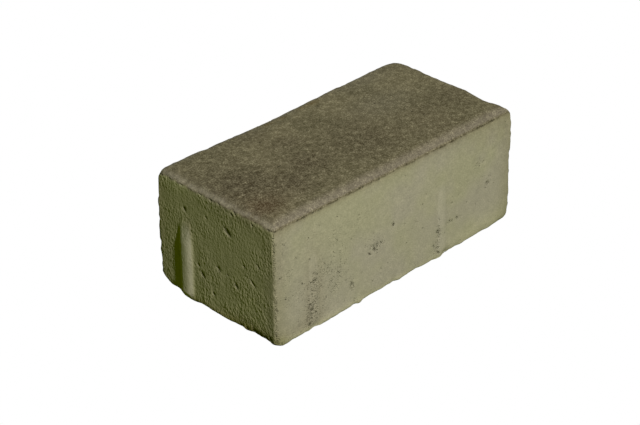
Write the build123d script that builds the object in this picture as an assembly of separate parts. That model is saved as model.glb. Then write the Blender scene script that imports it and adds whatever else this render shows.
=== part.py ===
"""Rectangular concrete paving stone: a drafted block with a bevelled wearing face and spacer nibs.

The stone is pressed in one piece, wearing face up, and drawn down out of its mould. X runs along the
stone, Y across it and Z up; the origin is the middle of the bed face, where the stone meets the ground.
"""
from build123d import *
import math
import os

# Driving sizes, in millimetres

# Block
FOOT_LENGTH = 200.0  # at the ground, along X
FOOT_WIDTH = 100.0  # at the ground, along Y
HEIGHT = 79.0
RIM_INSET = 1.0  # the sides lean in, so that the rim lies this far inside the ground line
CORNER_RADIUS = 3.0  # upright arrises, at the ground
BED_ROUND = 2.0  # worn lower arris, all round

# Bevel round the wearing face
BEVEL_RUN = 5.0  # inwards from the rim
BEVEL_RISE = 3.2  # upwards from the rim
BROW_WIDTH = 2.8  # the soft turn above the bevel takes this much of the bevel and of the wearing face

# Spacer nibs: half-round ridges that rise from the ground line and run out into the face above
END_NIB_WIDTH = 13.0
END_NIB_PROUD = 2.2
END_NIB_FROM_CORNER = 25.5  # nib's centre line to the corner on its left, seen from outside
SIDE_NIB_WIDTH = 10.0
SIDE_NIB_PROUD = 0.5
SIDE_NIB_FROM_LEFT = 30.0  # first nib's centre line to the corner on its left, seen from outside
SIDE_NIB_FROM_RIGHT = 63.0  # second nib's centre line to the corner on its right, seen from outside
NIB_FULL_HEIGHT = 38.0  # a nib keeps its full section up to here
NIB_TOP = 53.0  # and has sunk into the face here
NIB_FOOT_ROUND = 4.5  # height of the turned-in foot of a nib, which starts at the ground line
NIB_SINK = 0.4  # the edges of a nib's section lie this far under the face
NIB_TOP_SHARE = 0.5  # at its top a nib's crest has sunk by this share of that depth

# Sizes that follow
RIM_HEIGHT = HEIGHT - BEVEL_RISE
DRAFT_ANGLE = math.degrees(math.atan2(RIM_INSET, RIM_HEIGHT))
BEVEL_ANGLE = math.atan2(BEVEL_RISE, BEVEL_RUN)
BROW_RADIUS = BROW_WIDTH / math.tan(BEVEL_ANGLE / 2)
NIB_ROOT = BED_ROUND + NIB_SINK  # depth of a nib's root, which reaches past the worn lower arris


def face_set_back(height):
    """Distance that a side face has come in from the ground line at this height."""
    return RIM_INSET * height / RIM_HEIGHT


def drafted_block():
    """Upright block with rounded arrises, narrowing upwards, with its lower arris worn round."""
    outline = RectangleRounded(FOOT_LENGTH, FOOT_WIDTH, CORNER_RADIUS)
    block = extrude(outline, HEIGHT, taper=DRAFT_ANGLE)
    return fillet(block.edges().group_by(Axis.Z)[0], BED_ROUND)


def bevel_plane(outward, foot_size):
    """Plane of one bevel, through the rim of the side that faces outward."""
    rim = foot_size / 2 - RIM_INSET
    up = Vector(0, 0, 1)
    return Plane(origin=outward * rim + up * RIM_HEIGHT, z_dir=outward * BEVEL_RISE + up * BEVEL_RUN)


def bevelled_block():
    """Block with its top edges cut away by the four bevel planes, which then turn softly into the top."""
    block = drafted_block()
    for axis, foot_size in ((Vector(1, 0, 0), FOOT_LENGTH), (Vector(0, 1, 0), FOOT_WIDTH)):
        for outward in (axis, -axis):
            block = split(block, bisect_by=bevel_plane(outward, foot_size), keep=Keep.BOTTOM)
    wearing_face = block.faces().sort_by(Axis.Z)[-1]
    return fillet(wearing_face.edges(), BROW_RADIUS)


def nib_section(width, crest, height):
    """Level section of a nib: an arc across the face, backed by a root inside the block.

    Local X runs across the face and local Y points out of it. The arc peaks at the crest, measured from
    the face at this height, and its two ends lie a little under the face.
    """
    edge = width / 2
    left, right = (-edge, -NIB_SINK), (edge, -NIB_SINK)
    crown = ThreePointArc(right, (0, crest), left)
    root = Polyline(left, (-edge, -NIB_ROOT), (edge, -NIB_ROOT), right)
    return Pos(0, -face_set_back(height), height) * make_face(crown + root)


def spacer_nib(width, proud):
    """Ridge with a turned-in foot and a full length, which then sinks evenly into the face."""
    levels = (
        (0, 0),
        (NIB_FOOT_ROUND, proud),
        (NIB_FULL_HEIGHT, proud),
        (NIB_TOP, -NIB_SINK * NIB_TOP_SHARE),
    )
    return loft([nib_section(width, crest, height) for height, crest in levels], ruled=True)


def nibs_of_two_faces():
    """Nibs of the -X end and of the -Y side, each turned so that its local Y points out of the face."""
    end_nib = spacer_nib(END_NIB_WIDTH, END_NIB_PROUD)
    side_nib = spacer_nib(SIDE_NIB_WIDTH, SIDE_NIB_PROUD)
    end_place = Pos(-FOOT_LENGTH / 2, FOOT_WIDTH / 2 - END_NIB_FROM_CORNER) * Rot(0, 0, 90)
    side_places = [
        Pos(x, -FOOT_WIDTH / 2) * Rot(0, 0, 180)
        for x in (SIDE_NIB_FROM_LEFT - FOOT_LENGTH / 2, FOOT_LENGTH / 2 - SIDE_NIB_FROM_RIGHT)
    ]
    return [end_place * end_nib] + [place * side_nib for place in side_places]


def paving_stone():
    """Whole stone; half a turn about Z brings it onto itself, nibs and all."""
    stone = bevelled_block()
    for turn in (0, 180):
        for nib in nibs_of_two_faces():
            stone += Rot(0, 0, turn) * nib
    return stone


os.makedirs("parts", exist_ok=True)
export_step(paving_stone().solid(), "parts/paving_stone.step")
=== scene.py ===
"""Concrete paving stone: one pressed block with a worn brown wearing face, on a white studio floor.

The stone's surface is one closed sheet, worked out with numpy: a lattice over the wearing face, a wall that
hangs from the border of that lattice, and one flat polygon for the bed face. The sheet is then worn,
coloured in coats and given its material.

Sizes are in millimetres until the mesh is made, and angles in degrees. X runs along the stone, Y across it
and Z up; the origin is the middle of the bed face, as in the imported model.
"""
import math

import bpy
import numpy as np
from mathutils import Matrix, Vector


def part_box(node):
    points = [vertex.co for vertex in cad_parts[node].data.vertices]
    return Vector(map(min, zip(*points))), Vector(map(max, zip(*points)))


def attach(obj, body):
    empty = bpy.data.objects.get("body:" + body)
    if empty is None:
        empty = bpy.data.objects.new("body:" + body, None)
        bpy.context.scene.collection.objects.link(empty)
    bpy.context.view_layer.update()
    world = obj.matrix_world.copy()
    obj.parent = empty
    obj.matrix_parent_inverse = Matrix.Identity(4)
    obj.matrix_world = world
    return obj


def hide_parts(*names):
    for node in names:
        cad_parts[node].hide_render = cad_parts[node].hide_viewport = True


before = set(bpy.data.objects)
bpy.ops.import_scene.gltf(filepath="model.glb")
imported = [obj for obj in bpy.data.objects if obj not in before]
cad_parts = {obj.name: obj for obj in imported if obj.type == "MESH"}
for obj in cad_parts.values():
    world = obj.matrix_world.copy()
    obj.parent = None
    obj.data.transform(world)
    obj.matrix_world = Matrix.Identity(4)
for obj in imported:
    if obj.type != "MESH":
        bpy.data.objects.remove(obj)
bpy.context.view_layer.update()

MM = 0.001
NODE = "paving_stone"
SEED = 7  # every random field counts on from here
TINY = 1e-6  # keeps a division by a length off zero
UPRIGHT = (0, 0, 1)

# Bevel round the wearing face, and lean and rounding of the sides
BEVEL_RUN = 5.0  # inwards from the rim
BEVEL_RISE = 3.2  # upwards from the rim
BROW_TURN = 0.8  # softness of the turn from the bevel into the wearing face
RIM_INSET = 1.0  # the sides lean in by this much up to the rim
CORNER_RADIUS = 3.0  # upright arrises, at the ground
FOOT_ROUND = 2.0  # worn lower arris

# Spacer nibs: half-round ridges that rise from the ground and run out into the face
END_NIB_WIDTH = 13.0
END_NIB_PROUD = 2.2
END_NIB_FROM_CORNER = 24.5  # centre line to the corner on its left, seen from outside
SIDE_NIB_WIDTH = 10.0
SIDE_NIB_PROUD = 0.5
SIDE_NIB_FROM_LEFT = 30.0  # first centre line to the corner on its left, seen from outside
SIDE_NIB_FROM_RIGHT = 63.0  # second centre line to the corner on its right
NIB_FULL_HEIGHT = 38.0  # a nib keeps its full section up to here,
NIB_TOP = 53.0  # and has sunk into the face here
NIB_FOOT_ROUND = 4.5  # height of a nib's turned-in foot
NIB_SINK = 0.4  # the edges of a nib's section lie this far under the face
NIB_FULLNESS = 2.5  # 2 makes a nib's section a parabola, more makes its crown flatter

# Block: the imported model's box, less what its nibs stand out at their fullest
box_size = np.ptp(np.array(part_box(NODE)), axis=0) / MM
HEIGHT = box_size[2]
RIM_HEIGHT = HEIGHT - BEVEL_RISE
NIB_SET_BACK = RIM_INSET * NIB_FOOT_ROUND / RIM_HEIGHT
FOOT_LENGTH = box_size[0] - 2 * (END_NIB_PROUD - NIB_SET_BACK)
FOOT_WIDTH = box_size[1] - 2 * (SIDE_NIB_PROUD - NIB_SET_BACK)
BLOCK_REACH = np.array((FOOT_LENGTH / 2, FOOT_WIDTH / 2, RIM_HEIGHT))

# Nibs of the -X end and the -Y side, which the far sides repeat by half a turn: the axis that a nib stands
# out along, its place on the other axis, its width and how far it stands out
NIBS = (
    (0, FOOT_WIDTH / 2 - END_NIB_FROM_CORNER, END_NIB_WIDTH, END_NIB_PROUD),
    (1, SIDE_NIB_FROM_LEFT - FOOT_LENGTH / 2, SIDE_NIB_WIDTH, SIDE_NIB_PROUD),
    (1, FOOT_LENGTH / 2 - SIDE_NIB_FROM_RIGHT, SIDE_NIB_WIDTH, SIDE_NIB_PROUD),
)

# Lattice
CELLS_ALONG = 256
CELLS_ACROSS = 128
CELLS_UP = 74
CELLS_ROUND_FOOT = 6
EDGE_STEP_SHARE = 0.5  # step beside an arris, as a share of the step in mid-face
EDGE_REACH = 7.0  # how far from an arris the steps are shorter
FLAT_SHARE = 0.99  # on a flat side the outward direction lies at least this nearly along an axis
ARRIS_PEAK = 0.25  # end share times side share in the middle of an arris, where each is a half

# Hollows that show in the photograph; the far sides repeat them by half a turn, as they repeat the nibs
SIDE_PITS = (  # on the -Y side: along, up, radius
    (-92, 29, 0.8), (-67, 35, 0.8), (-72, 31, 0.7), (-69, 32, 0.6), (-72, 13, 0.8), (-73, 17, 0.6),
    (-54, 48, 0.5), (-21, 30, 0.6), (-15, 32, 0.5), (-25, 29, 0.5), (-5, 40, 0.5), (-40, 17, 0.5),
    (33, 19, 0.7), (33, 23, 0.6), (30, 10, 0.7), (34, 4, 0.8), (44, 22, 0.6), (51, 21, 0.5),
    (79, 34, 0.6), (-74, 4, 0.8),
)
SIDE_SPECKS = (  # specked patches of the -Y side: along, up, length, height, strength
    (-70, 31, 3, 7, 0.25), (-72, 13, 4, 5, 0.15), (-19, 31, 6, 4, 0.25), (-40, 15, 2, 4, 0.4),
    (34, 12, 1.5, 14, 0.4), (46, 21, 6, 1.5, 0.4), (71, 52, 4, 3, 0.3), (79, 34, 4, 1.5, 0.3),
    (-5, 40, 2, 4, 0.3), (-76, 5, 9, 4, 0.15), (30, 8, 3, 4, 0.3), (-64, 24, 34, 30, 0.19),
)
END_SPECKS = ((-34, 2, 18, 6, 0.25),)  # of the -X end: across, up, length, height, strength
END_GOUGES = (  # on the -X end: across, up, length, width
    (25, 60, 1.4, 1.3), (35, 57, 0.6, 0.5), (30, 52, 0.6, 0.5), (7, 62, 1.0, 0.7), (-15, 73, 0.7, 0.7),
    (-11, 60, 2.6, 1.3), (-2, 32, 1.9, 1.4), (12, 22, 2.3, 1.4), (-24, 43, 0.8, 0.8), (-36, 48, 1.4, 0.7),
    (-31, 35, 2.6, 0.6), (-17, 27, 1.5, 1.3), (-10, 31, 0.7, 0.7), (15, 27, 1.4, 0.7), (3, 13, 1.0, 0.7),
    (27, 75, 0.7, 0.6), (11, 75, 0.6, 0.5), (2, 75, 0.7, 0.6), (-4, 75, 0.7, 0.6), (-18, 74, 0.8, 0.6),
    (-32, 73, 0.6, 0.6), (-20, 1.5, 1.4, 0.9), (-25, 2, 1.2, 0.8), (-32, 3, 1.6, 0.9), (-37, 3, 1.6, 1.0),
    (-41, 2.5, 1.4, 1.0), (-45, 3.5, 1.3, 0.9), (-48, 2, 1.2, 0.9),
)
TOP_PITS = (  # on the wearing face: along, across, radius
    (44, 13, 0.7), (51, -5, 0.9), (52, -10, 0.7), (54, -18, 0.7), (18, 36, 0.7), (-38, 27, 0.8),
    (-50, -2, 0.7), (5, 22, 0.9),
)
GOUGE_SLANT = 40.0  # gouges run down to the right at this angle
SIDE_PIT_SHARE = 0.8  # strength of the pits of the sides
END_GOUGE_GAIN = 0.3  # placed hollows are deeper by this share on the ends,
GOUGE_RAGGED = 0.9  # and deeper or shallower by up to this share at random
HOLLOW_DEPTH = 0.5  # of a hollow of strength 1

# Pits drawn at random: how many, smallest and largest radius
RIM_PITS = (60, 0.3, 0.6)
WALL_PITS = (300, 0.4, 0.7)
WALL_PIT_SHARE = 0.4  # strength of the pits of the wall

# Lumps and nicks of the edges. An edge is given by its place along X, Y and Z, as shares of BLOCK_REACH,
# with None for the way that it runs. A row is place along the edge, how far out it stands there, length.
EDGE_LUMPS = {
    (None, -1, 0): (
        (-70, -1.4, 4.0), (-61, 0.4, 2.5), (-41, 0.5, 2.0), (-34, 1.1, 2.2), (-5, -0.7, 2.0), (0, 0.6, 2.0),
        (35, 0.5, 3.0), (41, -1.2, 4.0), (75, -0.5, 4.0), (-80, 0.6, 16.0), (-96, 1.3, 4.5),
        (-55, 0.5, 8.0), (-88, -0.2, 2.0), (-62, 0.4, 20.0), (60, -0.5, 30.0), (93, -1.0, 8.0),
    ),
    (-1, None, 0): ((-34, -0.8, 9.0), (-50, 1.2, 4.0), (36, -1.5, 5.0)),
    (1, -1, None): ((66, 1.1, 16.0), (4, -0.5, 8.0)),
    (-1, 1, None): ((45, 0.6, 28.0),),
}
LUMP_REACH = 3.5  # how far a lump reaches across its edge

# Sags and swells of the brow, which is the turn into the wearing face, just inside the rim and above it
BROW_SAGS = {
    (None, 0.92, 1.04): ((-16, -1.8, 34.0), (84, 0.5, 8.0), (48, -0.5, 3.0), (-62, -0.6, 5.0)),
    (0.96, None, 1.04): (
        (30, 0.4, 18.0), (-7, 0.4, 6.0), (-30, -1.3, 10.0), (37, 0.5, 3.5), (26, 0.5, 3.0), (-16, 0.5, 3.5),
    ),
}
SAG_REACH = 7.0  # how far a sag reaches across the brow

CHIPS = (  # broken corners: side along X, Y and Z, outward direction of the break, depth, softness
    ((-1, 1, 0), (-0.54, 0.43, -0.72), 5.2, 1.5),
    ((-1, 1, 1), (-0.6, 0.55, 0.58), 3.8, 1.0),
    ((1, 1, 1), (0.42, 0.42, 0.8), 3.0, 0.9),
    ((1, -1, 1), (0.6, -0.5, 0.63), 2.6, 1.0),
    ((1, -1, 0), (0.6, -0.3, -0.74), 4.0, 1.0),
    ((-1, -1, 0), (-0.45, -0.3, -0.84), 1.8, 1.2),
)
CHIP_REACH = 4.0  # a break stops bending the surface this many softnesses under its plane

# Ragged edges
RIM_ROUND = 0.35  # the rim is worn down by this much,
RIM_ROUND_REACH = 1.0  # over this far to either side
RIM_CRUMBLE = 0.5  # depth of the ragged line below the rim,
RIM_CRUMBLE_WIDTH = 0.7  # and half its width
END_RIM_SHARE = 0.2  # pits, dirt and painted shade of an end's rim against those of a side's
BROW_REACH = 4.0  # half width of the lumpy brow
FOOT_REACH = 3.0  # height of the ragged foot

# Random fields, drawn in this order: size of one cell along X, Y and Z
FIELD_CELLS = {
    "top_grain": (2.2, 2.2, 2.2),
    "top_wave": (30, 30, 30),
    "side_wave": (14, 14, 18),
    "end_drag": (2.0, 2.0, 14),
    "rim": (3.0, 3.0, 3.0),
    "arris": (1.8, 1.8, 2.6),
    "foot": (5.0, 5.0, 5.0),
    "brow": (3.5, 3.5, 3.5),
    "rough": (9.0, 9.0, 9.0),
    "cloud": (26, 26, 26),
    "mottle": (9.0, 9.0, 9.0),
    "crumb": (1.1, 1.1, 1.3),
}
FIELD_DEPTHS = {  # of the fields that move the surface
    "top_grain": 0.06, "top_wave": 0.2, "side_wave": 0.1, "end_drag": 0.05,
    "rim": 0.25, "arris": 0.45, "foot": 0.35, "brow": 0.55,
}
NOISE_CELLS = 64  # a random field repeats after this many cells

# Stains, and one patch of painted shade: middle, reach along each axis, strength, colour
GREY = "#9B9482"
DIRT_AND_SHADE = "#857B66"
PALE = "#A9A386"
EARTH = "#877542"
MOSS = "#77793F"
SIDE_STAINS = (  # on the -Y side and the -X end
    ((-78, -50, 20), (30, 8, 30), 1.0, GREY),
    ((-70, -50, 22), (8, 8, 30), 0.5, DIRT_AND_SHADE),
    ((-78, -50, 3), (14, 8, 8), 0.5, DIRT_AND_SHADE),
    ((78, -50, 4), (34, 8, 9), 0.7, PALE),
    ((82, -50, 70), (22, 8, 10), 0.35, DIRT_AND_SHADE),
    ((-100, -30, 0), (8, 24, 7), 0.6, EARTH),
    ((-98, -49, 1), (5, 4, 5), 0.8, MOSS),
    # painted shade at the top of the end nib's lit flank
    ((-102, 22, 48), (6, 3, 7), 0.6, DIRT_AND_SHADE),
)
BROWN = "#5A5140"
UMBER = "#5C4E3C"
DUST = "#787060"
RUST = "#6A5628"
TOP_STAINS = (  # on the wearing face, along X and Y alone
    ((-80, -5), (24, 24), 1.0, BROWN),
    ((-58, -22), (15, 14), 0.9, BROWN),
    ((-36, -10), (14, 14), 0.9, BROWN),
    ((-88, -29), (14, 12), 0.9, UMBER),
    ((45, 10), (24, 14), 0.5, DUST),
    ((-36, 38), (12, 12), 0.6, BROWN),
    ((8, -14), (26, 26), 0.7, BROWN),
    ((48, -34), (18, 18), 0.5, BROWN),
    ((86, -14), (18, 12), 0.5, BROWN),
    ((-28, 14), (12, 9), 0.7, BROWN),
    ((57, -14), (12, 9), 0.4, BROWN),
    ((62, 40), (22, 9), 0.5, DUST),
    ((-19, 43), (4, 3), 0.6, RUST),
    ((-7, 42), (3, 3), 0.5, RUST),
    ((9, 43), (3, 3), 0.5, RUST),
    ((18, 42), (5, 3), 0.5, RUST),
)
TOP_STAIN_DEPTH = 9.0  # how far down the wall a stain of the wearing face runs

# Coats of colour: how far they reach, in millimetres, and how strongly they cover
CLOUD_EDGES = (-0.6, 0.6)  # a random field makes clouds between these
MOTTLE_SHARE = 0.5  # share of a finer field in them
# ends: partly their own tone, partly painted tint and brightness of their shade
END_OLIVE = 0.6
END_TOP_REACH = 6.0  # paler stretch at the top of the ends
END_TOP_PALE = 0.4
NIB_EDGE = 0.45  # a nib has its full colour where it stands out by this share
END_NIB_PALE = 0.65
SIDE_NIB_PALE = 0.2
CORNER_REACH = 10.0  # dirt beside the upright arrises
CORNER_DIRT = 0.45
FOOT_CORNER_DIRT = 0.6
SPILL_REACH = 3.5  # brown that has run down the wall
SPILL_STRENGTH = 0.4
RIM_STRAY = 0.6  # how far the border of the brown face strays from its line,
RIM_SPILL = 0.5  # which lies this far below the rim,
RIM_BLEND = 0.8  # and half the width of its change of colour
BEVEL_START = 1.3  # from the rim to here the bevel's own colour comes in,
BEVEL_FADE = (2.0, 8.5)  # and between these it goes over into the wearing face
BEVEL_STRENGTH = 0.9
END_BEVEL_SHARE = 0.35  # strength on the ends against that, as they have a paler line instead
END_LINE_PLACE = 1.5  # middle of that line, in from the rim
END_LINE_REACH = 1.6
END_LINE_STRENGTH = 0.36
# dark line under the rim: partly dirt, partly painted shade under its edge
RIM_SHADE_AND_DIRT_REACH = 1.1
RIM_SHADE_AND_DIRT = 0.5

# Strength of the speckle
TOP_SPECKLE = 1.8
BEVEL_SPECKLE = 1.5
SIDE_SPECKLE = 0.85

# Depth of the drag marks
END_DRAG = 0.45
SIDE_DRAG = 0.05
ROUGH_EDGES = (-0.3, 0.5)  # a random field goes from calm to rough stretches of the wall between these
CALM_SHARE = 0.4  # marks of the calmest stretches against those of the roughest
NIB_CALM = 0.5  # they are shallower by this share on the nibs,
LOW_DRAG = 0.6  # and deeper by this share at the foot,
LOW_DRAG_TOP = 40.0  # which is none from here up

# How far a place already is on the way to a pit, painted dark as shade: under the rim, on the arrises, on
# rough stretches
RIM_HOLLOW = 0.3
ARRIS_HOLLOW = 0.28
ROUGH_HOLLOW = 0.13

# Grain of the concrete: size of one mark along X, Y and Z, and further octaves. Most sand is finer than a
# millimetre, which is too fine to show, so its marks are drawn coarser.
PATTERNS = {
    "sand": ((0.8, 0.8, 0.8), 0),
    "grit": ((3.2, 3.2, 3.2), 2),
    "drag": ((1.4, 1.4, 1.9), 0),
    "pore": ((0.7, 0.7, 0.7), 0),
}
GRIT_SHARE = 1.0  # grit against sand in the speckle
GRAIN_COLOUR = "#605A4C"  # what a light grain adds and a dark one takes away
GRAIN_DEPTH = 0.12
PORE_IN_PIT = 0.9  # weight of a pore against that of a hollow
PIT_EDGES = (0.78, 1.3)  # pore and hollow together make a pit between these
PIT_STRENGTH = 0.65  # share of the painted shade colour in a full pit
PIT_DEPTH = 1.0
# painted shade: the dark inside of pits and gouges
PIT_SHADE_COLOUR = "#3C3828"
ROUGHNESS = 0.92
SPECULAR_LEVEL = 0.1  # open pores leave hardly any gloss

# Sockets of a colour mix, by number, as each of its names stands for several
MIX_FACTOR = 0
MIX_BELOW = 6
MIX_ABOVE = 7
MIX_RESULT = 2

# Camera, fitted to the outline in the photograph
CAMERA_AZIMUTH = -44.0
CAMERA_ELEVATION = 30.6
CAMERA_ROLL = -1.02
CAMERA_AIM = (0, 0, 40.0)
CAMERA_DISTANCE = 1085.0
CAMERA_SLIDE = (-11.53, -12.15)  # right and up, in the picture plane
CAMERA_LENS = 101.85
CAMERA_SENSOR = 36.0

# Studio
LAMPS = {  # azimuth, elevation, distance, width, power in watts
    "key": (-16.5, 40, 1500, 60, 22.5),
    "back": (160, 12, 1200, 800, 7.0),
}
FILL_COLOUR = "#E1FF3F"  # light from all round, which tints the shaded end
FILL_STRENGTH = 0.115
WHITE = (1, 1, 1, 1)
FLOOR_REACH = 6000.0


def smooth_step(values, start, end):
    """Rise from 0 at start to 1 at end along the cubic 3t^2 - 2t^3."""
    share = np.clip((values - start) / (end - start), 0, 1)
    return share * share * (3 - 2 * share)


def bell(values, width):
    """Bell curve: the exponential of minus the square of values over width."""
    return np.exp(-(values / width) ** 2)


def lattice_lines(cells, length):
    """Line places from -1 to 1, closer together near both ends.

    Each step is 1 in the middle and falls by a bell curve to EDGE_STEP_SHARE at the ends. The running sum
    of the steps is then stretched to the range.
    """
    to_end = (1 - np.abs(np.linspace(-1, 1, cells))) * length / 2
    steps = 1 - (1 - EDGE_STEP_SHARE) * bell(to_end, EDGE_REACH)
    places = np.concatenate(([0], np.cumsum(steps)))
    return 2 * places / places[-1] - 1


def face_set_back(height):
    """How far a side has come in from the ground line at a height: evenly, by RIM_INSET up to the rim."""
    return RIM_INSET * height / RIM_HEIGHT


def rounded_plan(along, across, inset):
    """Spread lattice places from -1 to 1 over the stone's rounded outline, drawn in by the inset.

    Each place is stretched to the half length and half width. Inside a corner's square, the two distances
    into it are shrunk by the larger of them over their diagonal, which turns the outer sides of the square
    into a quarter circle. On the border, those distances over the radius are the outward direction.
    """
    half = np.stack(np.broadcast_arrays(FOOT_LENGTH / 2 - inset, FOOT_WIDTH / 2 - inset), axis=-1)
    radius = np.asarray(CORNER_RADIUS - inset)[..., None]
    plan = np.stack(np.broadcast_arrays(along, across), axis=-1) * half
    into = np.maximum(np.abs(plan) - (half - radius), 0)
    diagonal = np.hypot(into[..., :1], into[..., 1:])
    shrink = into.max(axis=-1, keepdims=True) / np.maximum(diagonal, TINY)
    rounded = into * np.where(diagonal > 0, shrink, 1)
    outward = np.sign(plan) * rounded / radius
    return plan - np.sign(plan) * (into - rounded), outward


def top_sheet(along, across):
    """Wearing face and bevel: the level top or the bevel's slope, whichever is lower, softly joined.

    The bevel drops by its rise at the rim and by nothing at its inner edge. The soft turn is half the sum
    of that drop and the root of its square plus the square of the turn.
    """
    plan, _ = rounded_plan(along, across, RIM_INSET)
    rim_half = np.array([FOOT_LENGTH / 2, FOOT_WIDTH / 2]) - RIM_INSET
    to_rim = (rim_half - np.abs(plan)).min(axis=-1)
    drop = BEVEL_RISE * (1 - to_rim / BEVEL_RUN)
    height = HEIGHT - (drop + np.hypot(drop, BROW_TURN)) / 2
    return np.concatenate([plan, height[..., None]], axis=-1)


def nib_surface(from_middle, height, width, proud):
    """How far a nib stands out of the ground line.

    A level section falls from its crest by a power, NIB_FULLNESS, of the distance from its middle, and lies
    NIB_SINK under the face at half the width either side. The crest is turned in at the foot, full up to
    NIB_FULL_HEIGHT, and then sinks evenly to nothing at NIB_TOP.
    """
    left = np.clip((NIB_TOP - height) / (NIB_TOP - NIB_FULL_HEIGHT), 0, 1)
    crest = proud * np.clip(height / NIB_FOOT_ROUND, 0, 1) * left
    fall = (crest + NIB_SINK) * np.abs(2 * from_middle / width) ** NIB_FULLNESS
    return crest - fall - face_set_back(height)


def nib_lifts(plan, outward, height, inset):
    """How far the nibs lift the wall along X and Y, and the share of a nib's full height that is.

    A nib stands where its surface lies outside the wall, on its own flat face, and again half a turn on.
    """
    lifts = np.zeros_like(plan)
    nib_share = np.zeros_like(height)
    for half_turn in (1, -1):
        for out_axis, place, width, proud in NIBS:
            from_middle = plan[..., 1 - out_axis] - half_turn * place
            on_face = outward[..., out_axis] * half_turn < -FLAT_SHARE
            lift = np.maximum(nib_surface(from_middle, height, width, proud) + inset, 0) * on_face
            lifts[..., out_axis] -= half_turn * lift
            nib_share += lift / proud
    return lifts, nib_share


def wall_sheet(along, across, rim_height):
    """Side wall with its nibs: columns down from the rim, leaning out, that turn under by a quarter circle.

    The first row hangs just below the rim, because the rim belongs to the wearing face. Returns the points,
    their outward directions and their share of a nib's full height.
    """
    upright = (1 + lattice_lines(CELLS_UP, RIM_HEIGHT))[-2::-1, None] / 2
    turn = np.linspace(0, math.pi / 2, CELLS_ROUND_FOOT + 1)[1:, None]
    wall_height = FOOT_ROUND + (rim_height - FOOT_ROUND) * upright
    turn_height = np.broadcast_to(FOOT_ROUND * (1 - np.sin(turn)), (len(turn), len(rim_height)))
    height = np.concatenate([wall_height, turn_height])
    tuck = np.concatenate([np.zeros_like(upright), FOOT_ROUND * (1 - np.cos(turn))])
    inset = face_set_back(height) + tuck
    plan, outward = rounded_plan(along, across, inset)
    lifts, nib_share = nib_lifts(plan, outward, height, inset)
    return np.concatenate([plan + lifts, height[..., None]], axis=-1), outward, nib_share


def border_walk(grid):
    """Border of a grid, walked once round, anticlockwise from above."""
    return np.concatenate([grid[:-1, 0], grid[-1, :-1], grid[:0:-1, -1], grid[0, :0:-1]])


def sheet_quads(ids):
    """Corner indices of every cell of a grid of vertex indices."""
    return np.stack([ids[:-1, :-1], ids[1:, :-1], ids[1:, 1:], ids[:-1, 1:]], axis=-1).reshape(-1, 4)


def per_vertex(top_values, wall_values):
    """One value for each vertex, those of the wearing face first."""
    return np.concatenate([np.ravel(top_values), np.ravel(wall_values)])


def lattice_noise(points, cell, seed):
    """Smooth random field from -1 to 1.

    Random values stand on a lattice of the given cell size along X, Y and Z, which repeats after
    NOISE_CELLS. A point blends the eight values round it, by the cubic step of its place in the cell.
    """
    table = np.random.default_rng(SEED + seed).uniform(-1, 1, (NOISE_CELLS,) * 3)
    place = points / np.asarray(cell)
    cell_index = np.floor(place).astype(int)
    share = smooth_step(place - cell_index, 0, 1)
    total = np.zeros(len(points))
    for corner in np.ndindex(2, 2, 2):
        weight = np.prod(np.where(corner, share, 1 - share), axis=1)
        total += weight * table[tuple(((cell_index + corner) % NOISE_CELLS).T)]
    return total


def patch(points, middle, direction, length, width):
    """Patch of the surface, 1 at its middle: a bell curve along its direction times another across it."""
    away = points - np.asarray(middle)
    along_patch = away @ np.asarray(direction)
    across_patch = np.sqrt(np.maximum((away ** 2).sum(axis=1) - along_patch ** 2, 0))
    return bell(along_patch, length) * bell(across_patch, width)


def scattered_pits(points, zone, count, smallest, largest):
    """Sum of round patches at vertices drawn from a zone, with radii drawn between two sizes."""
    draw = np.random.default_rng(SEED)
    middles = points[draw.choice(np.flatnonzero(zone), count)]
    radii = draw.uniform(smallest, largest, count)
    return sum(patch(points, middle, UPRIGHT, radius, radius) for middle, radius in zip(middles, radii))


def placed_hollows(points):
    """Sum of the patches of all placed pits, specks and gouges, each times its strength."""
    slant = math.radians(GOUGE_SLANT)
    slanted = np.array((0, -math.cos(slant), -math.sin(slant)))
    side_pits = [(place, up, radius, radius, SIDE_PIT_SHARE) for place, up, radius in SIDE_PITS]
    total = np.zeros(len(points))
    for place_x, place_y, radius in TOP_PITS:
        total += patch(points, (place_x, place_y, HEIGHT), UPRIGHT, radius, radius)
    for half_turn in (1, -1):
        turn = np.array((half_turn, half_turn, 1))
        for place, up, length, tall, strength in (*side_pits, *SIDE_SPECKS):
            middle = turn * (place, face_set_back(up) - FOOT_WIDTH / 2, up)
            total += strength * patch(points, middle, UPRIGHT, tall, length)
        for place, up, length, tall, strength in END_SPECKS:
            middle = turn * (face_set_back(up) - FOOT_LENGTH / 2, place, up)
            total += strength * patch(points, middle, UPRIGHT, tall, length)
        for place, up, length, width in END_GOUGES:
            middle = turn * (face_set_back(up) - FOOT_LENGTH / 2, place, up)
            total += patch(points, middle, turn * slanted, length, width)
    return total


def edge_lumps(points, lumps, reach):
    """How far the lumps of a table stand out: the sum of patches along the edges, each times its height."""
    total = np.zeros(len(points))
    for sides, rows in lumps.items():
        way = [float(side is None) for side in sides]
        for place, out, length in rows:
            middle = [place if side is None else side * half for side, half in zip(sides, BLOCK_REACH)]
            total += out * patch(points, middle, way, length, reach)
    return total


def chip(points, sides, normal, depth, softness):
    """Break a corner off along a plane that lies a depth inside it.

    What stands out of the plane by a height is pressed back by the soft positive part of that height: half
    the sum of the height and the root of its square plus the square of the softness.
    """
    normal = np.asarray(normal) / np.linalg.norm(normal)
    height = (points - np.asarray(sides) * BLOCK_REACH) @ normal + depth
    back = (height + np.hypot(height, softness)) / 2 * (height > -CHIP_REACH * softness)
    return points - back[:, None] * normal


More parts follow.
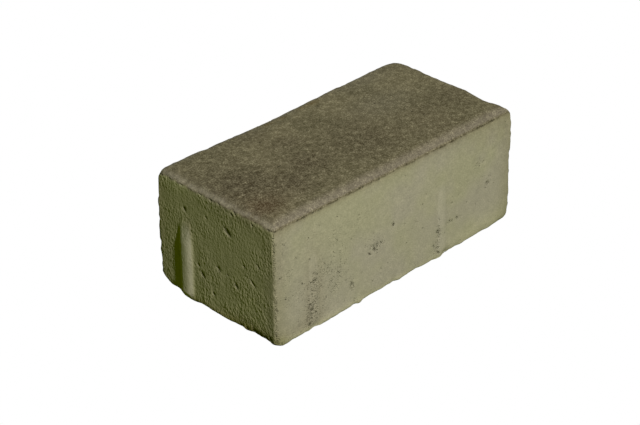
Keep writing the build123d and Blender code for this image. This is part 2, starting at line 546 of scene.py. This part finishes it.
# Surface: the wall hangs from the rim of the wearing face, and the bed face closes it
along, across = np.meshgrid(
    lattice_lines(CELLS_ALONG, FOOT_LENGTH), lattice_lines(CELLS_ACROSS, FOOT_WIDTH), indexing="ij"
)
top = top_sheet(along, across)
rim_height = border_walk(top[..., 2])
wall, wall_outward, nib_share = wall_sheet(border_walk(along), border_walk(across), rim_height)

top_ids = np.arange(along.size).reshape(along.shape)
wall_ids = along.size + np.arange(nib_share.size).reshape(nib_share.shape)
ring = np.vstack([border_walk(top_ids), wall_ids])
ring = np.column_stack([ring, ring[:, :1]])  # its last column is its first again
points = np.concatenate([sheet.reshape(-1, 3) for sheet in (top, wall)])
faces = np.concatenate([sheet_quads(top_ids), sheet_quads(ring)]).tolist()
faces.append(wall_ids[-1, ::-1].tolist())  # bed face

mesh = bpy.data.meshes.new(NODE)
mesh.from_pydata(points * MM, [], faces)
mesh.shade_smooth()
normals = np.empty(points.size)
mesh.vertex_normals.foreach_get("vector", normals)
normals = normals.reshape(-1, 3)

# Where each vertex lies: its distance in from the rim, which is less than zero down the wall, and its share
# of each kind of place. On the wall, the shares of end and side are the outward direction squared.
to_end = (1 - np.abs(along)) * FOOT_LENGTH / 2
to_side = (1 - np.abs(across)) * FOOT_WIDTH / 2
off_wall = np.zeros_like(along)
from_rim = per_vertex(np.minimum(to_end, to_side), wall[..., 2] - rim_height)
end = per_vertex(smooth_step(to_side - to_end, -BEVEL_RUN, BEVEL_RUN), wall_outward[..., 0] ** 2)
side = per_vertex(off_wall, wall_outward[..., 1] ** 2)
nib = smooth_step(per_vertex(off_wall, nib_share), 0, NIB_EDGE)
arris = end * side / ARRIS_PEAK
height = points[:, 2]
foot = bell(height, FOOT_REACH)
corner = bell(np.hypot(*(BLOCK_REACH[:2] - np.abs(points[:, :2])).T), CORNER_REACH)
noise = {name: lattice_noise(points, cell, seed) for seed, (name, cell) in enumerate(FIELD_CELLS.items())}
wearing = smooth_step(from_rim + RIM_SPILL + RIM_STRAY * noise["rim"], -RIM_BLEND, RIM_BLEND)
bare_wall = 1 - wearing
bevel = smooth_step(from_rim, 0, BEVEL_START) * (1 - smooth_step(from_rim, *BEVEL_FADE))
brow = bell(from_rim - BEVEL_RUN, BROW_REACH)
under_rim = bell(from_rim + RIM_CRUMBLE, RIM_CRUMBLE_WIDTH)
rim_share = 1 - (1 - END_RIM_SHARE) * end
rough = smooth_step(noise["rough"], *ROUGH_EDGES)

# Wear: hollows, random fields and lumps move the surface along its normals, and the corners then break off
hollow = placed_hollows(points) * (1 + END_GOUGE_GAIN * end) * (1 + GOUGE_RAGGED * noise["crumb"])
hollow += scattered_pits(points, np.abs(from_rim + RIM_CRUMBLE) < RIM_CRUMBLE, *RIM_PITS)
hollow += WALL_PIT_SHARE * scattered_pits(points, from_rim < -RIM_CRUMBLE, *WALL_PITS)
field = {name: depth * noise[name] for name, depth in FIELD_DEPTHS.items()}
relief = wearing * (field["top_grain"] + field["top_wave"]) + brow * field["brow"]
relief += bare_wall * (field["side_wave"] + end * field["end_drag"] + arris * field["arris"])
relief += under_rim * field["rim"] + foot * field["foot"]
relief -= RIM_ROUND * bell(from_rim, RIM_ROUND_REACH) + HOLLOW_DEPTH * hollow
relief += edge_lumps(points, EDGE_LUMPS, LUMP_REACH) + edge_lumps(points, BROW_SAGS, SAG_REACH)
points = points + normals * relief[:, None]
for row in CHIPS:
    points = chip(points, *row)
points[:, 2] = np.clip(points[:, 2], 0, HEIGHT)
mesh.vertices.foreach_set("co", (points * MM).ravel())


def linear(hex_colour):
    """Linear red, green and blue of an sRGB hex colour, by the two-part sRGB curve."""
    parts = np.array([int(hex_colour[place:place + 2], 16) for place in (1, 3, 5)]) / 255
    return np.where(parts <= 0.04045, parts / 12.92, ((parts + 0.055) / 1.055) ** 2.4)


def stain_coats(points, stains):
    """Share and colour of each stain; the share is a bell curve of the distance, counted in reaches."""
    return [
        (strength * bell(np.linalg.norm((points - middle) / reach, axis=1), 1), colour)
        for middle, reach, strength, colour in stains
    ]


# Colour of every vertex, laid on in coats: each goes its share of the way from what is below to its own
cloud = smooth_step(noise["cloud"] + MOTTLE_SHARE * noise["mottle"], *CLOUD_EDGES)
end_line = end * bell(from_rim - END_LINE_PLACE, END_LINE_REACH) * (1 + noise["rim"])
top_stains = [
    ((*middle, HEIGHT), (*reach, TOP_STAIN_DEPTH), strength, colour)
    for middle, reach, strength, colour in TOP_STAINS
]
coats = (
    (np.ones(len(points)), "#9A957B"),  # olive sides
    (cloud, GREY),  # greyer clouds in them
    (end * END_OLIVE, "#A29D73"),  # greener, lighter ends, partly their own tone and partly painted to match how the shaded end looks,
    (end * bell(from_rim, END_TOP_REACH) * END_TOP_PALE, "#C0BB94"),  # paler at their top
    *stain_coats(points, SIDE_STAINS),
    (foot * (1 - end), "#A29C7F"),  # paler foot of the sides
    (foot * end, "#857C4A"),  # yellower foot of the ends
    (nib * (SIDE_NIB_PALE + (END_NIB_PALE - SIDE_NIB_PALE) * end), "#B2AB99"),  # rubbed nibs
    (corner * CORNER_DIRT, "#7F7859"),  # dirt beside the arrises,
    (corner * foot * FOOT_CORNER_DIRT, "#66653A"),  # darker at their foot
    (bell(from_rim, SPILL_REACH) * SPILL_STRENGTH * (1 - end), "#7F7558"),  # brown run down from the rim
    (wearing, "#6A624D"),  # brown wearing face
    (wearing * cloud, "#756C56"),  # paler clouds in it
    *stain_coats(points, top_stains),
    (bevel * BEVEL_STRENGTH * (1 - (1 - END_BEVEL_SHARE) * end), "#776E60"),  # rubbed bevel
    (end_line * END_LINE_STRENGTH, "#A1978A"),  # rubbed rim of the ends
    (bell(from_rim + RIM_CRUMBLE, RIM_SHADE_AND_DIRT_REACH) * RIM_SHADE_AND_DIRT * rim_share, "#5E5642"),  # dirt and painted shade under the rim
)
tint = np.zeros((len(points), 3))
for share, colour in coats:
    tint += share[:, None] * (linear(colour) - tint)
mesh.attributes.new("tint", "FLOAT_COLOR", "POINT").data.foreach_set(
    "color", np.column_stack([tint, np.ones(len(tint))]).ravel()
)

# What else the material reads: strength of the speckle, depth of the drag marks, and nearness to a pit
speckle = SIDE_SPECKLE + (TOP_SPECKLE - SIDE_SPECKLE) * wearing + (BEVEL_SPECKLE - TOP_SPECKLE) * bevel
drag = SIDE_DRAG + (END_DRAG - SIDE_DRAG) * end
drag *= CALM_SHARE + (1 - CALM_SHARE) * rough
drag *= 1 + LOW_DRAG * smooth_step(-height, -LOW_DRAG_TOP, 0)
crumbled = under_rim * (1 + noise["rim"]) * rim_share
masks = {
    "speckle": speckle,
    "drag": bare_wall * drag * (1 - NIB_CALM * nib),
    "hollow": hollow + ARRIS_HOLLOW * arris + ROUGH_HOLLOW * bare_wall * rough + RIM_HOLLOW * crumbled,
}
for name, values in masks.items():
    mesh.attributes.new(name, "FLOAT", "POINT").data.foreach_set("value", values)
mesh.update()

stone = bpy.data.objects.new(NODE + "_surface", mesh)
bpy.context.scene.collection.objects.link(stone)
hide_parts(NODE)
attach(stone, "root")


def add_node(tree, kind, inputs, output=0, **settings):
    """Add a node with its settings, set or link its inputs, and return one of its outputs."""
    node = tree.nodes.new(kind)
    for name, value in settings.items():
        setattr(node, name, value)
    for socket, value in inputs.items():
        if isinstance(value, bpy.types.NodeSocket):
            tree.links.new(value, node.inputs[socket])
        else:
            node.inputs[socket].default_value = value
    return node.outputs[output] if node.outputs else None


def pressed_concrete(mask_names):
    """Pressed concrete: sand and cement, moulded dry against steel and dragged out of the mould.

    It is open-pored, so the eye sees a matt, sandy face with dark pits and no gloss at any angle. The ends,
    which take the light at a slant, show the drag marks.
    """
    material = bpy.data.materials.new("pressed_concrete")
    material.use_nodes = True
    tree = material.node_tree
    tree.nodes.clear()
    place = add_node(tree, "ShaderNodeTexCoord", {}, "Object")
    tint = add_node(tree, "ShaderNodeAttribute", {}, "Color", attribute_name="tint")
    mask = {
        name: add_node(tree, "ShaderNodeAttribute", {}, "Fac", attribute_name=name) for name in mask_names
    }
    pattern = {}
    for name, (size, octaves) in PATTERNS.items():
        scale = [1 / (mark * MM) for mark in size]
        scaled = add_node(tree, "ShaderNodeMapping", {"Vector": place, "Scale": scale})
        marks = {"Vector": scaled, "Scale": 1.0, "Detail": octaves}
        pattern[name] = add_node(tree, "ShaderNodeTexNoise", marks)

    # Pits open where the sand is loose
    loosened = {0: pattern["pore"], 1: PORE_IN_PIT, 2: mask["hollow"]}
    loose = add_node(tree, "ShaderNodeMath", loosened, operation="MULTIPLY_ADD")
    opened = {"Value": loose, "From Min": PIT_EDGES[0], "From Max": PIT_EDGES[1], "To Max": PIT_STRENGTH}
    pit = add_node(tree, "ShaderNodeMapRange", opened)

    # Light and dark grains
    mixed = {0: pattern["grit"], 1: GRIT_SHARE, 2: pattern["sand"]}
    grain = add_node(tree, "ShaderNodeMath", mixed, operation="MULTIPLY_ADD")
    centred = add_node(tree, "ShaderNodeMath", {0: grain, 1: (1 + GRIT_SHARE) / 2}, operation="SUBTRACT")
    strength = add_node(tree, "ShaderNodeMath", {0: centred, 1: mask["speckle"]}, operation="MULTIPLY")
    gain = add_node(tree, "ShaderNodeMath", {0: strength}, operation="EXPONENT")
    lighter = add_node(tree, "ShaderNodeMath", {0: gain, 1: 1.0}, operation="SUBTRACT")
    added = {0: lighter, 1: linear(GRAIN_COLOUR), 2: tint}
    speckled = add_node(tree, "ShaderNodeVectorMath", added, operation="MULTIPLY_ADD")
    # Pits are painted in the dark shade colour
    darkened = {MIX_FACTOR: pit, MIX_BELOW: speckled, MIX_ABOVE: (*linear(PIT_SHADE_COLOUR), 1)}
    colour = add_node(tree, "ShaderNodeMix", darkened, MIX_RESULT, data_type="RGBA")

    # Height in millimetres
    dragged = add_node(tree, "ShaderNodeMath", {0: pattern["drag"], 1: mask["drag"]}, operation="MULTIPLY")
    raised = {0: pattern["sand"], 1: GRAIN_DEPTH, 2: dragged}
    grained = add_node(tree, "ShaderNodeMath", raised, operation="MULTIPLY_ADD")
    sunk = add_node(tree, "ShaderNodeMath", {0: pit, 1: -PIT_DEPTH, 2: grained}, operation="MULTIPLY_ADD")
    normal = add_node(tree, "ShaderNodeBump", {"Height": sunk, "Distance": MM, "Strength": 1.0})

    finish = {
        "Base Color": colour,
        "Roughness": ROUGHNESS,
        "Specular IOR Level": SPECULAR_LEVEL,
        "Normal": normal,
    }
    shader = add_node(tree, "ShaderNodeBsdfPrincipled", finish)
    add_node(tree, "ShaderNodeOutputMaterial", {"Surface": shader})
    return material


mesh.materials.append(pressed_concrete(masks))


def direction(azimuth, elevation):
    """Unit vector from the stone towards an azimuth, 0 in front of the -Y side, and an elevation."""
    turn, rise = math.radians(azimuth), math.radians(elevation)
    return Vector((math.sin(turn) * math.cos(rise), -math.cos(turn) * math.cos(rise), math.sin(rise)))


def place_camera():
    """Camera that looks at its aim point, rolled, and then slid in its own picture plane."""
    back = direction(CAMERA_AZIMUTH, CAMERA_ELEVATION)
    roll = Matrix.Rotation(math.radians(CAMERA_ROLL), 3, "Z")
    turn = back.to_track_quat("Z", "Y").to_matrix() @ roll
    place = Vector(CAMERA_AIM) + turn @ Vector((*CAMERA_SLIDE, CAMERA_DISTANCE))
    data = bpy.data.cameras.new("camera")
    data.lens = CAMERA_LENS
    data.sensor_width = CAMERA_SENSOR
    camera = bpy.data.objects.new("camera", data)
    camera.matrix_world = Matrix.Translation(place * MM) @ turn.to_4x4()
    bpy.context.scene.collection.objects.link(camera)
    bpy.context.scene.camera = camera


def area_light(name, azimuth, elevation, distance, width, power):
    """Square lamp that looks at the stone from a direction."""
    back = direction(azimuth, elevation)
    turn = back.to_track_quat("Z", "Y").to_matrix()
    data = bpy.data.lights.new(name, "AREA")
    data.energy = power
    data.size = width * MM
    lamp = bpy.data.objects.new(name, data)
    lamp.matrix_world = Matrix.Translation(back * distance * MM) @ turn.to_4x4()
    bpy.context.scene.collection.objects.link(lamp)


def studio_world():
    """White backdrop for the camera, and an even fill for everything else."""
    world = bpy.data.worlds.new("studio")
    world.use_nodes = True
    tree = world.node_tree
    tree.nodes.clear()
    seen = add_node(tree, "ShaderNodeLightPath", {}, "Is Camera Ray")
    fill_light = {"Color": (*linear(FILL_COLOUR), 1), "Strength": FILL_STRENGTH}
    fill = add_node(tree, "ShaderNodeBackground", fill_light)
    backdrop = add_node(tree, "ShaderNodeBackground", {"Color": WHITE, "Strength": 1.0})
    shown = add_node(tree, "ShaderNodeMixShader", {0: seen, 1: fill, 2: backdrop})
    add_node(tree, "ShaderNodeOutputWorld", {"Surface": shown})
    return world


def white_floor():
    """Floor that shines white by itself, so that it takes no shadow and throws no light at the stone."""
    reach = FLOOR_REACH * MM
    floor_mesh = bpy.data.meshes.new("floor")
    corners = [(-reach, -reach, 0), (reach, -reach, 0), (reach, reach, 0), (-reach, reach, 0)]
    floor_mesh.from_pydata(corners, [], [(0, 1, 2, 3)])
    paint = bpy.data.materials.new("floor_paint")
    paint.use_nodes = True
    paint.node_tree.nodes.clear()
    glow = add_node(paint.node_tree, "ShaderNodeEmission", {"Color": WHITE, "Strength": 1.0})
    add_node(paint.node_tree, "ShaderNodeOutputMaterial", {"Surface": glow})
    floor_mesh.materials.append(paint)
    floor = bpy.data.objects.new("floor", floor_mesh)
    floor.visible_diffuse = False
    floor.visible_glossy = False
    bpy.context.scene.collection.objects.link(floor)


place_camera()
white_floor()
bpy.context.scene.world = studio_world()
bpy.context.scene.view_settings.view_transform = "Standard"
for name, setting in LAMPS.items():
    area_light(name, *setting)
